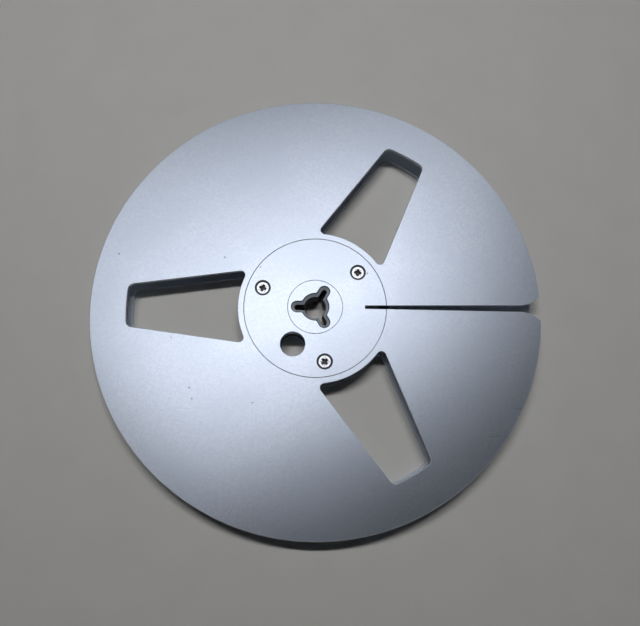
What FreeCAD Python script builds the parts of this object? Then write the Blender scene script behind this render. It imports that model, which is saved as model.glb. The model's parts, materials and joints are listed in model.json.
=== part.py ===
"""Open tape reel: two slotted aluminium flanges clamped to a winding drum by screwed hub plates.

Frame: millimetres, +Z along the reel's axis. The origin is on the axis, in the outer face of
the rear flange, which is the face that the reel lies on. The front tape slot runs along +X.

The front flange, hub plate, screws and pin are each modelled once, in place at the front. The
rear ones are the same parts turned over, so their slot and screws come out at other angles,
while the windows, the spindle lobes and the finger hole line up through the whole reel.
"""
import FreeCAD, Part
import math
import os

# ---- Flanges --------------------------------------------------------------------------------
reel_diameter = 178.0
flange_thickness = 1.5
tape_gap = 7.8            # between the two flanges, for tape 6.3 wide
rim_round = 0.4           # radius on both edges of the rim

# ---- Windows, three in each flange ----------------------------------------------------------
window_count = 3
first_window_angle = 60.0
rim_width = 14.3          # from the windows' outer ends to the rim
window_to_drum = 0.6      # from the drum to the windows' inner ends
window_outer_width = 17.0  # between the straight sides, at the outer end
window_inner_width = 28.8  # between the straight sides, at the inner end
window_outer_corner = 2.5
window_inner_corner = 1.8

# ---- Winding drum and hub plates ------------------------------------------------------------
drum_diameter = 60.0
drum_shoulder = 1.85      # how far the drum stands out from under a hub plate's disc
plate_lip = 0.75          # thickness of the disc, where it holds the flange down
plate_lip_width = 2.55    # how far the disc stands out from its spigot
spigot_depth = 1.5        # how far the spigot goes into the drum
seam_break = 0.12         # chamfer along the visible seams

# ---- Tape slot, one in each side of the reel ------------------------------------------------
slot_in_plate = 8.35      # length of the slot within the hub plate
slot_start_width = 1.2
mouth_length = 8.5        # from the rim to where the slot starts to open out
mouth_start_width = 2.5
mouth_round = 11.3        # radius of the two curves that open the mouth at the rim

# ---- Spindle bush ---------------------------------------------------------------------------
bush_diameter = 21.7
collar_step = 0.75        # how far the collar stands out from the bush
collar_flat_depth = 0.5   # how far the collar's three flats are cut in
spindle_bore_diameter = 8.2
lobe_count = 3
lobe_width = 1.7
lobe_reach = 3.1          # from the bore's wall to the centre of each lobe's round end
mouth_step = 0.3          # straight drop at the outside of the bore's mouth
mouth_spread = 1.4        # how far the mouth stands out from the bore
mouth_depth = 1.1         # depth of the slope below the step

# ---- Finger hole, through both hub plates and the drum --------------------------------------
finger_hole_diameter = 9.7
finger_hole_wall = 1.7    # between the bush and the hole
finger_hole_angle = 240.0

# ---- Countersunk screws, M3, three on each side ---------------------------------------------
screw_count = 3
screw_to_edge = 3.4       # from a screw's axis to the spigot's edge
first_screw_angle = 40.0
screw_diameter = 3.0
screw_length = 6.0        # over the head
screw_head_diameter = 5.3
screw_head_land = 0.15    # short straight edge of the head
countersink_margin = 0.5  # radial, from the head's edge to the countersink's mouth
countersink_angle = 90.0
recess_turns = (-8.0, -20.0, 30.0)
recess_width = 0.62       # width of each arm of the cross recess
recess_across = 2.8
recess_floor_across = 1.3
recess_depth = 1.3
tick_across = 3.9         # fine marks between the arms
tick_width = 0.14
tick_depth = 0.1

# ---- Locating pins, one on each side, between flange and drum -------------------------------
pin_diameter = 1.5
pin_angle = 180.0
pin_depth = 3.0           # how far the pin's hole goes into the drum

# ---- Named clearances -----------------------------------------------------------------------
plate_clearance = 0.06    # radial, flange around the plate's disc
bore_clearance = 0.05     # radial, around spigots, the bush and its collar
seat_clearance = 0.1      # axial, below the spigots and the pins
shank_clearance = 0.2     # radial, around the screws in the hub plates
thread_clearance = 0.03   # radial, around the screws in the drum
pin_clearance = 0.02      # radial, around the pins
through = 1.0             # how far a cutting solid stands past what it cuts

# ---- Worked out from the sizes above --------------------------------------------------------
reel_radius = reel_diameter / 2
reel_thickness = 2 * flange_thickness + tape_gap
gap_floor = flange_thickness
gap_top = flange_thickness + tape_gap
drum_radius = drum_diameter / 2
window_outer_radius = reel_radius - rim_width
window_inner_radius = drum_radius + window_to_drum
plate_radius = drum_radius - drum_shoulder
spigot_radius = plate_radius - plate_lip_width
plate_thickness = flange_thickness + spigot_depth
plate_floor = reel_thickness - plate_thickness
counterbore_depth = spigot_depth + seat_clearance
web_floor = gap_floor + counterbore_depth
web_top = gap_top - counterbore_depth
slot_start_radius = plate_radius - slot_in_plate
mouth_start_radius = reel_radius - mouth_length
bush_radius = bush_diameter / 2
collar_radius = bush_radius + collar_step
collar_flat_distance = collar_radius - collar_flat_depth
bore_radius = spindle_bore_diameter / 2
lobe_centre_radius = bore_radius + lobe_reach
finger_hole_radius = bush_radius + finger_hole_wall + finger_hole_diameter / 2
screw_circle_radius = spigot_radius - screw_to_edge
countersink_radius = screw_head_diameter / 2 + countersink_margin
pin_circle_radius = (spigot_radius + plate_radius) / 2
up = FreeCAD.Vector(0, 0, 1)


def point(x, y, z=0.0):
    return FreeCAD.Vector(x, y, z)


def polar(radius, degrees, z=0.0):
    """Point at a radius and an angle about the reel's axis."""
    angle = math.radians(degrees)
    return point(radius * math.cos(angle), radius * math.sin(angle), z)


def cylinder(radius, bottom, top, centre=None):
    base = point(0, 0, bottom) if centre is None else point(centre.x, centre.y, bottom)
    return Part.makeCylinder(radius, top - bottom, base, up)


def cone(bottom_radius, top_radius, bottom, top, centre=None):
    base = point(0, 0, bottom) if centre is None else point(centre.x, centre.y, bottom)
    return Part.makeCone(bottom_radius, top_radius, top - bottom, base, up)


def line(start, end):
    return Part.LineSegment(start, end).toShape()


def arc(start, middle, end):
    return Part.Arc(start, middle, end).toShape()


def prism(wire, bottom, top):
    """Solid with the wire's outline between two heights; the wire lies at height 0."""
    face = Part.Face(wire)
    face.translate(point(0, 0, bottom))
    return face.extrude(point(0, 0, top - bottom))


def turned(shape, degrees):
    """Copy of a shape, turned about the reel's axis."""
    copy = shape.copy()
    copy.rotate(point(0, 0, 0), up, degrees)
    return copy


def turned_over(shape):
    """Copy of a front part as it sits at the rear: flipped about the line through a window."""
    copy = shape.copy()
    copy.rotate(point(0, 0, reel_thickness / 2), polar(1.0, first_window_angle), 180)
    return copy


def around(shape, count, first=0.0):
    """Copies of a shape, spaced evenly about the axis."""
    return [turned(shape, first + 360.0 * index / count) for index in range(count)]


def corner(circle_radius, side, corner_radius, outside):
    """Round corner between a circle about the axis and a window side.

    The side is (distance, lean): a line at that distance above the X axis where x is 0, falling
    by the lean's slope. Returns the corner's centre and its two touching points, first on the
    circle and then on the side. The centre is on a circle that the corner's radius makes larger
    (outside the given one) or smaller, and on a line that lies that radius below the side.
    """
    distance, lean = side
    normal = point(math.sin(lean), math.cos(lean))
    foot = distance * math.cos(lean) - corner_radius
    reach = circle_radius + corner_radius if outside else circle_radius - corner_radius
    along = math.sqrt(reach ** 2 - foot ** 2)
    centre = normal * foot + point(math.cos(lean), -math.sin(lean)) * along
    on_circle = centre * (circle_radius / reach)
    on_side = centre + normal * corner_radius
    return centre, on_circle, on_side


def mirrored(vector):
    return point(vector.x, -vector.y)


def window_wire():
    """Outline of the window that points along +X: two arcs about the axis, two straight sides
    and four round corners."""
    slope = (window_inner_width - window_outer_width) / 2 / (window_outer_radius - window_inner_radius)
    side = (window_inner_width / 2 + slope * window_inner_radius, math.atan(slope))
    outer = corner(window_outer_radius, side, window_outer_corner, False)
    inner = corner(window_inner_radius, side, window_inner_corner, True)

    def rounded(corner_points, corner_radius):
        centre, on_circle, on_side = corner_points
        toward = (on_circle - centre).normalize() + (on_side - centre).normalize()
        return centre + toward.normalize() * corner_radius

    outer_middle = rounded(outer, window_outer_corner)
    inner_middle = rounded(inner, window_inner_corner)
    edges = [
        arc(mirrored(outer[1]), point(window_outer_radius, 0), outer[1]),
        arc(outer[1], outer_middle, outer[2]),
        line(outer[2], inner[2]),
        arc(inner[2], inner_middle, inner[1]),
        arc(inner[1], point(window_inner_radius, 0), mirrored(inner[1])),
        arc(mirrored(inner[1]), mirrored(inner_middle), mirrored(inner[2])),
        line(mirrored(inner[2]), mirrored(outer[2])),
        arc(mirrored(outer[2]), mirrored(outer_middle), mirrored(outer[1])),
    ]
    return Part.Wire(edges)


def slot_wire():
    """Outline of the slot along +X: a square inner end, widening sides and a curved mouth."""
    start = slot_start_width / 2
    mouth = mouth_start_width / 2
    curve_centre = point(mouth_start_radius, mouth + mouth_round)
    curve_end = curve_centre + point(mouth_round, 0)
    curve_middle = curve_centre + polar(mouth_round, -45)
    beyond = reel_radius + mouth_round
    inner_end = point(slot_start_radius, start)
    mouth_end = point(mouth_start_radius, mouth)
    edges = [
        line(mirrored(inner_end), inner_end),
        line(inner_end, mouth_end),
        arc(mouth_end, curve_middle, curve_end),
        line(curve_end, point(beyond, curve_end.y)),
        line(point(beyond, curve_end.y), point(beyond, -curve_end.y)),
        line(point(beyond, -curve_end.y), mirrored(curve_end)),
        arc(mirrored(curve_end), mirrored(curve_middle), mirrored(mouth_end)),
        line(mirrored(mouth_end), mirrored(inner_end)),
    ]
    return Part.Wire(edges)


def trident_wire(spread, height):
    """Outline of the spindle bore, moved outwards by the spread: arcs about the axis, and
    between them lobes with parallel sides and round ends. One lobe points along +X."""
    radius = bore_radius + spread
    half = lobe_width / 2 + spread
    root_angle = math.degrees(math.asin(half / radius))
    root_x = math.sqrt(radius ** 2 - half ** 2)
    spacing = 360.0 / lobe_count
    edges = []
    for index in range(lobe_count):
        lobe = [
            line(point(root_x, -half), point(lobe_centre_radius, -half)),
            arc(point(lobe_centre_radius, -half), point(lobe_centre_radius + half, 0),
                point(lobe_centre_radius, half)),
            line(point(lobe_centre_radius, half), point(root_x, half)),
            arc(polar(radius, root_angle), polar(radius, spacing / 2),
                polar(radius, spacing - root_angle)),
        ]
        edges += [turned(edge, spacing * index) for edge in lobe]
    wire = Part.Wire(edges)
    wire.translate(point(0, 0, height))
    return wire


def broken_disc(radius, bottom, top, top_break):
    """Disc with a chamfer round its top edge."""
    return cylinder(radius, bottom, top - top_break).fuse(
        cone(radius, radius - top_break, top - top_break, top)).removeSplitter()


def broken_hole(radius, bottom, top, top_break):
    """Cutting solid for a round hole, from the bottom up, with a chamfer at its top edge."""
    flare = cone(radius, radius + top_break + through, top - top_break, top + through)
    return cylinder(radius, bottom, top + through).fuse(flare)


def finger_hole(bottom, top):
    centre = polar(finger_hole_radius, finger_hole_angle)
    return cylinder(finger_hole_diameter / 2, bottom - through, top + through, centre)


def front_slot(bottom, top):
    return prism(slot_wire(), bottom - through, top + through)


def pin_hole(bottom, top):
    return cylinder(pin_diameter / 2 + pin_clearance, bottom, top, polar(pin_circle_radius, pin_angle))


def front_flange():
    """Flat ring with three windows, a slot, and a rabbet that the hub plate's lip sits in."""
    ring = cylinder(reel_radius, gap_top, reel_thickness)
    rims = [edge for edge in ring.Edges if edge.Closed]
    ring = ring.makeFillet(rim_round, rims)
    cuts = around(prism(window_wire(), gap_top - through, reel_thickness + through),
                  window_count, first_window_angle)
    cuts.append(cylinder(spigot_radius + bore_clearance, gap_top - through, reel_thickness))
    cuts.append(broken_hole(plate_radius + plate_clearance, reel_thickness - plate_lip,
                            reel_thickness, seam_break))
    cuts.append(front_slot(gap_top, reel_thickness))
    cuts.append(pin_hole(gap_top - through, reel_thickness))
    return ring.cut(cuts)


def countersunk_hole():
    """Cutting solid for one screw's hole and countersink, on the axis."""
    slope = math.tan(math.radians(countersink_angle / 2))
    tip = reel_thickness - countersink_radius / slope
    sink = cone(0, countersink_radius + through * slope, tip, reel_thickness + through)
    shank = cylinder(screw_diameter / 2 + shank_clearance, plate_floor - through, reel_thickness)
    return sink.fuse(shank)


def front_hub_plate():
    """Disc with a spigot: the disc clamps the flange and the spigot centres it on the drum."""
    disc = broken_disc(plate_radius, reel_thickness - plate_lip, reel_thickness, seam_break)
    spigot = cylinder(spigot_radius, plate_floor, reel_thickness - plate_lip)
    plate = disc.fuse(spigot).removeSplitter()
    screw_hole = countersunk_hole()
    screw_hole.translate(point(screw_circle_radius, 0))
    cuts = around(screw_hole, screw_count, first_screw_angle)
    cuts.append(broken_hole(bush_radius + bore_clearance, plate_floor - through,
                            reel_thickness, seam_break))
    cuts.append(finger_hole(plate_floor, reel_thickness))
    cuts.append(front_slot(plate_floor, reel_thickness))
    return plate.cut(cuts)


def keyed_collar(radius, flat_distance, bottom, top):
    """Round collar with three flats that stop it from turning, one of them by the finger hole."""
    beyond = 2 * radius
    flat = Part.makeBox(beyond, 2 * beyond, top - bottom + 2 * through,
                        point(flat_distance, -beyond, bottom - through))
    return cylinder(radius, bottom, top).cut(around(flat, window_count, finger_hole_angle))


def hub_core():
    """Winding drum: a ring with a web inside it, which the plates and the bush's collar fit."""
    core = cylinder(drum_radius, gap_floor, gap_top)
    counterbore = cylinder(spigot_radius + bore_clearance, web_top, gap_top + through)
    thread = cylinder(screw_diameter / 2 + thread_clearance, web_floor - through,
                      web_top + through, point(screw_circle_radius, 0))
    pin_socket = pin_hole(gap_top - pin_depth, gap_top + through)
    front_cuts = [counterbore, pin_socket, front_slot(gap_floor, gap_top)]
    front_cuts += around(thread, screw_count, first_screw_angle)
    cuts = front_cuts + [turned_over(cut) for cut in front_cuts]
    cuts.append(keyed_collar(collar_radius + bore_clearance, collar_flat_distance + bore_clearance,
                             web_floor - through, web_top + through))
    cuts.append(finger_hole(gap_floor, gap_top))
    return core.cut(cuts)


def spindle_bush():
    """Bush with a three-lobed bore. Its collar is trapped between the two hub plates."""
    body = broken_disc(bush_radius, reel_thickness / 2, reel_thickness, seam_break)
    body = body.fuse(turned_over(body))
    body = body.fuse(keyed_collar(collar_radius, collar_flat_distance, plate_thickness,
                                  reel_thickness - plate_thickness)).removeSplitter()
    bore = prism(trident_wire(0, 0), -through, reel_thickness + through)
    step_floor = reel_thickness - mouth_step
    step = prism(trident_wire(mouth_spread, 0), step_floor, reel_thickness + through)
    slope = Part.makeLoft([trident_wire(0, step_floor - mouth_depth),
                           trident_wire(mouth_spread, step_floor)], True, True)
    first_lobe = first_window_angle
    mouth = [turned(step, first_lobe), turned(slope, first_lobe)]
    return body.cut([turned(bore, first_lobe)] + mouth + [turned_over(cut) for cut in mouth])


def recess_section(across, height, angle):
    """Rectangle across the screw's axis, as wide as an arm of the recess."""
    corners = [point(side * across / 2, edge * recess_width / 2, height)
               for side, edge in ((-1, -1), (1, -1), (1, 1), (-1, 1))]
    return turned(Part.makePolygon(corners + corners[:1]), angle)


def recess(turn, head_top):
    """Cutting solid for a cross recess: tapering arms, and fine marks between them."""
    arms = []
    ticks = []
    for angle in (turn, turn + 90):
        floor = recess_section(recess_floor_across, head_top - recess_depth, angle)
        mouth = recess_section(recess_across, head_top, angle)
        arms.append(Part.makeLoft([floor, mouth], True, True))
        tick = Part.makeBox(tick_across, tick_width, tick_depth + through,
                            point(-tick_across / 2, -tick_width / 2, head_top - tick_depth))
        ticks.append(turned(tick, angle + 45))
    return arms[0].fuse(arms[1:] + ticks)


def screw(turn):
    """Countersunk screw on the axis, with its cone on the countersink's."""
    slope = math.tan(math.radians(countersink_angle / 2))
    head_radius = screw_head_diameter / 2
    shank_radius = screw_diameter / 2
    cone_top = reel_thickness - countersink_margin / slope
    cone_bottom = cone_top - (head_radius - shank_radius) / slope
    head_top = cone_top + screw_head_land
    land = cylinder(head_radius, cone_top, head_top)
    head = cone(shank_radius, head_radius, cone_bottom, cone_top)
    shank = cylinder(shank_radius, head_top - screw_length, cone_bottom)
    return land.fuse([head, shank]).removeSplitter().cut(recess(turn, head_top))


def front_screws():
    screws = []
    for index, turn in enumerate(recess_turns):
        angle = first_screw_angle + 360.0 * index / screw_count
        part = screw(turn)
        part.translate(polar(screw_circle_radius, angle))
        screws.append(part)
    return screws


def front_locating_pin():
    """Pin from the drum's face into the flange, below the plate's lip."""
    return cylinder(pin_diameter / 2, gap_top - pin_depth + seat_clearance,
                    reel_thickness - plate_lip, polar(pin_circle_radius, pin_angle))


def build():
    """Every piece of the reel, by name."""
    nodes = {"hub_core": hub_core(), "spindle_bush": spindle_bush()}
    front = {
        "flange": front_flange(),
        "hub_plate": front_hub_plate(),
        "locating_pin": front_locating_pin(),
    }
    for number, part in enumerate(front_screws(), start=1):
        front["screw_%d" % number] = part
    for name, part in front.items():
        nodes["front_" + name] = part
        nodes["rear_" + name] = turned_over(part)
    return nodes


os.makedirs("parts", exist_ok=True)
for node, shape in build().items():
    solids = shape.Solids
    if len(solids) != 1 or not shape.isValid():
        raise ValueError("%s has %d solids" % (node, len(solids)))
    solids[0].exportStep("parts/%s.step" % node)
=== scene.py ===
"""Looks of the open tape reel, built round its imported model.

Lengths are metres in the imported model's frame: +Z along the reel's axis, the rear flange's outer
face on the floor, the front tape slot along +X. Each front piece is built once, and the rear one
is the same piece turned over about the level line through the first window.

Every surface is one of two kinds. A wall is an edge profile carried along a path, row above row.
A face is flat, and fills what lies between paths. A path is an array of points (x, y) that keeps
the material on its left: counterclockwise round a piece, clockwise round a hole in it.
"""
import json
import math

import bpy
import numpy as np
from mathutils import Matrix, Vector
from mathutils.geometry import delaunay_2d_cdt


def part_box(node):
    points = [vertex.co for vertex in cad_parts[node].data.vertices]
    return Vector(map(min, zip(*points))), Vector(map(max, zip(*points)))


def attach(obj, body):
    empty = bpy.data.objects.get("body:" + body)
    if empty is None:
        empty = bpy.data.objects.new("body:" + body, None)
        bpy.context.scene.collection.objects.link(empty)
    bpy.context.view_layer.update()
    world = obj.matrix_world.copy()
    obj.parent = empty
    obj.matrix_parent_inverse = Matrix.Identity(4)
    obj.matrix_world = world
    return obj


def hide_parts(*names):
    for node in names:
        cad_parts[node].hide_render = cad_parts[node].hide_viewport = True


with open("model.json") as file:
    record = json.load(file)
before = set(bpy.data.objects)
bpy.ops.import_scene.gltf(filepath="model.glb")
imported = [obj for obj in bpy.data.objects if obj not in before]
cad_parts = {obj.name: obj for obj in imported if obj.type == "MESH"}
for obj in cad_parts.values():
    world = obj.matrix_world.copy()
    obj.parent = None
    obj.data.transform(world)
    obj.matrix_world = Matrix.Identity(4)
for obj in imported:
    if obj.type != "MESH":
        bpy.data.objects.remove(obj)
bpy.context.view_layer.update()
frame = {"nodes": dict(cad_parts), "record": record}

MM = 0.001

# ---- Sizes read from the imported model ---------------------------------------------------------


def widest(node):
    """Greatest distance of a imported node's points from the reel's axis."""
    points = np.array([vertex.co for vertex in frame["nodes"][node].data.vertices])
    return float(np.hypot(points[:, 0], points[:, 1]).max())


def mount(name):
    """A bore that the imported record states: its centre (x, y) and its radius."""
    bore = next(entry for entry in frame["record"]["mounts"] if entry["name"] == name)
    return np.array(bore["pos_m"][:2]), bore["dims"]["r_mm"] * MM


REEL_RADIUS = widest("front_flange")
REEL_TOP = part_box("front_flange")[1].z
GAP_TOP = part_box("front_flange")[0].z
GAP_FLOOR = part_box("rear_flange")[1].z
DRUM_RADIUS = widest("hub_core")
PLATE_RADIUS = widest("front_hub_plate")
PLATE_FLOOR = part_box("front_hub_plate")[0].z
COLLAR_RADIUS = widest("spindle_bush")
BORE_RADIUS = mount("spindle_bore")[1]
FINGER_CENTRE, FINGER_RADIUS = mount("finger_hole")

# ---- Sizes the frame doesn't give -------------------------------------------------------------

FIRST_WINDOW = 60.0
WINDOW_OUTER_RADIUS = REEL_RADIUS - 14.3 * MM
WINDOW_INNER_RADIUS = DRUM_RADIUS + 0.6 * MM
WINDOW_OUTER_HALF = 8.5 * MM
WINDOW_INNER_HALF = 14.4 * MM
WINDOW_OUTER_CORNER = 2.5 * MM
WINDOW_INNER_CORNER = 1.8 * MM
RIM_ROUND = 0.25 * MM
WINDOW_ROUND = 0.16 * MM
SLOT_ROUND = 0.16 * MM
SEAM_ROUND = 0.12 * MM
LIP = 0.75 * MM
SPIGOT_RADIUS = PLATE_RADIUS - 2.55 * MM
PLATE_GAP = 0.1 * MM
BORE_GAP = 0.05 * MM
SLOT_START = PLATE_RADIUS - 8.35 * MM
SLOT_START_HALF = 0.6 * MM
MOUTH_START = REEL_RADIUS - 8.5 * MM
MOUTH_START_HALF = 1.25 * MM
MOUTH_CURVE = 11.3 * MM
REAR_SLOT = 120.0
COUNTERBORE = 1.6 * MM
WEB_FLOOR = GAP_FLOOR + COUNTERBORE
WEB_TOP = GAP_TOP - COUNTERBORE
BUSH_RADIUS = COLLAR_RADIUS - 0.75 * MM
COLLAR_FLAT = COLLAR_RADIUS - 0.5 * MM
LOBE_HALF = 0.85 * MM
LOBE_CENTRE = BORE_RADIUS + 3.1 * MM
LOBE_ROOT_ROUND = 0.7 * MM
MOUTH_SPREAD = 1.55 * MM
BAND_SPREAD = 1.15 * MM
THROAT_SPREAD = 0.25 * MM
MOUTH_STEP = 0.45 * MM
MOUTH_SLOPE = 0.95 * MM
THROAT_DEPTH = 1.0 * MM
SCREW_CIRCLE = SPIGOT_RADIUS - 3.4 * MM
SCREW_ANGLES = (40.0, 160.0, 280.0)
RECESS_TURNS = (-8.0, -20.0, 40.0)
SCREW_HEAD_RADIUS = 2.65 * MM
SCREW_SHANK_RADIUS = 1.5 * MM
SCREW_HOLE_RADIUS = 1.7 * MM
THREAD_HOLE_RADIUS = 1.53 * MM
COUNTERSINK_RADIUS = 3.2 * MM
HEAD_TOP = REEL_TOP - 0.35 * MM
HEAD_LAND = 0.15 * MM
SCREW_LENGTH = 6.0 * MM
PIN_CIRCLE = (SPIGOT_RADIUS + PLATE_RADIUS) / 2
PIN_RADIUS = 0.75 * MM
PIN_HOLE_RADIUS = 0.77 * MM
PIN_ANGLE = 180.0
PIN_HOLE_DEPTH = 3.0 * MM
RECESS_HALF_ACROSS = 1.5 * MM
RECESS_FLOOR_HALF_ACROSS = 0.75 * MM
RECESS_HALF_WIDTH = 0.58 * MM
RECESS_FLOOR_HALF_WIDTH = 0.38 * MM
RECESS_DEPTH = 1.3 * MM
TICK_REACH = 1.95 * MM
TICK_HALF_WIDTH = 0.11 * MM
TICK_DEPTH = 0.15 * MM
THREAD_PITCH = 0.5 * MM
THREAD_DEPTH = 0.28 * MM
HEAD_BEVEL = 0.32 * MM
PIN_ROUND = 0.1 * MM

# The matt and painted shade level is 0 on bare metal. It makes a surface less metallic until it
# reaches MATT, and darker, as painted shade, and rougher all the way to 1.
MATT = 0.3
WALL_PAINTED_SHADE = 0.2            # on the flanges' walls and inner faces it stands in for deep shade
INNER_FACE_PAINTED_SHADE = 0.23
# Painted shade on the hub plate's rounded edge, for the dark seam with the flange.
SEAM_PAINTED_SHADE = 0.7
# Painted shade in the screws' countersinks.
COUNTERSINK_PAINTED_SHADE = 0.87
# Spindle bore's mouth: painted shade on the outer step, a matt grey middle band, painted shade in
# the throat.
MOUTH_PAINTED_SHADE_AND_MATT = (0.85, 0.32, 1.0)
# Painted shade on the screw heads' cones and bevelled rims.
HEAD_PAINTED_SHADE = 0.95
# Painted shade in the screws' cross recesses.
RECESS_PAINTED_SHADE = 1.0

ROUND_STEPS = 4            # facets in a rounded edge
CREASE = math.cos(math.radians(32))
WELD = 1e-8                # points nearer than this are one point

# ---- Paths ------------------------------------------------------------------------------------


def polar(radius, degrees):
    """Point at a radius and an angle about the reel's axis."""
    angle = math.radians(degrees)
    return radius * np.array((math.cos(angle), math.sin(angle)))


def spun(path, degrees):
    """A path or a point turned about the reel's axis."""
    cos, sin = polar(1.0, degrees)
    return path @ np.array(((cos, sin), (-sin, cos)))


def mirrored(path):
    """A path or a point on the other side of the X axis."""
    return path * (1, -1)


def arc(centre, start, end, count, clockwise=False):
    """Arc from start to end: the centre plus the radius at evenly spaced angles."""
    centre, start, end = (np.asarray(place, float) for place in (centre, start, end))
    first = math.atan2(*(start - centre)[::-1])
    sweep = (math.atan2(*(end - centre)[::-1]) - first) % math.tau
    if clockwise:
        sweep -= math.tau
    angles = first + np.linspace(0, sweep, count)
    radius = math.hypot(*(start - centre))
    return centre + radius * np.column_stack((np.cos(angles), np.sin(angles)))


def circle(centre, radius, count, hole=False):
    """Closed circle: the centre plus the radius at evenly spaced angles."""
    angles = np.arange(count) * math.tau / count
    path = centre + radius * np.column_stack((np.cos(angles), np.sin(angles)))
    return path[::-1] if hole else path


def joined(*paths):
    """Paths end to end, without the points that two of them share."""
    path = np.concatenate([np.atleast_2d(part) for part in paths])
    apart = np.hypot(*(path - np.roll(path, 1, axis=0)).T) > WELD
    return path[apart]


def ahead_of(path, closed):
    """Outward directions of a path's stretches: each one's own direction turned to its right."""
    step = np.roll(path, -1, axis=0) - path
    if not closed:
        step[-1] = step[-2]
    side = np.column_stack((step[:, 1], -step[:, 0]))
    return side / np.linalg.norm(side, axis=1, keepdims=True)


def behind_of(own, closed):
    """For each point, the outward direction of the stretch that ends there."""
    before = np.roll(own, 1, axis=0)
    if not closed:
        before[0] = own[0]
    return before


def moved_in(path, inset, closed=True):
    """A path moved into the material by the inset, along the mean of the two outward directions
    at each point, and further by one over the cosine of half the turn at a corner."""
    own = ahead_of(path, closed)
    mean = own + behind_of(own, closed)
    mean /= np.linalg.norm(mean, axis=1, keepdims=True)
    cosine = (mean * own).sum(axis=1, keepdims=True)
    return path - np.reshape(inset, (-1, 1)) * mean / cosine


def inside(places, path):
    """Which places lie inside a closed path: a level line to the right of them crosses it an odd
    number of times."""
    x, y = places[:, :1], places[:, 1:]
    start, end = path, np.roll(path, -1, axis=0)
    rise = np.where(start[:, 1] == end[:, 1], 1.0, end[:, 1] - start[:, 1])
    spans = (start[:, 1] > y) != (end[:, 1] > y)
    crossing = start[:, 0] + (y - start[:, 1]) * (end[:, 0] - start[:, 0]) / rise
    return (spans & (crossing > x)).sum(axis=1) % 2 == 1


def side_normals(path, closed):
    """Outward directions at both ends of each stretch: the mean of the two stretches that meet
    there, or the stretch's own where they meet at a crease."""
    own = ahead_of(path, closed)
    before = behind_of(own, closed)
    mean = own + before
    mean /= np.linalg.norm(mean, axis=1, keepdims=True)
    smooth = (own * before).sum(axis=1, keepdims=True) > CREASE
    start = np.where(smooth, mean, own)
    end = np.where(np.roll(smooth, -1, axis=0), np.roll(mean, -1, axis=0), own)
    if closed:
        return start, end
    return start[:-1], end[:-1]


# ---- Surfaces ---------------------------------------------------------------------------------


def round_edge(height, size, facing):
    """Rows of a quarter-round edge, from the lowest up: inset size(1 - cos t), height
    size(1 - sin t) from the face, and a normal that leans by t. Facing is 1 at a top edge and -1
    at a bottom one; size is one radius, or one for each point of the path."""
    turn = np.linspace(0, math.pi / 2, ROUND_STEPS + 1)[::facing]
    return [(size * (1 - math.cos(t)), height - facing * size * (1 - math.sin(t)), facing * t)
            for t in turn]


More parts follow.
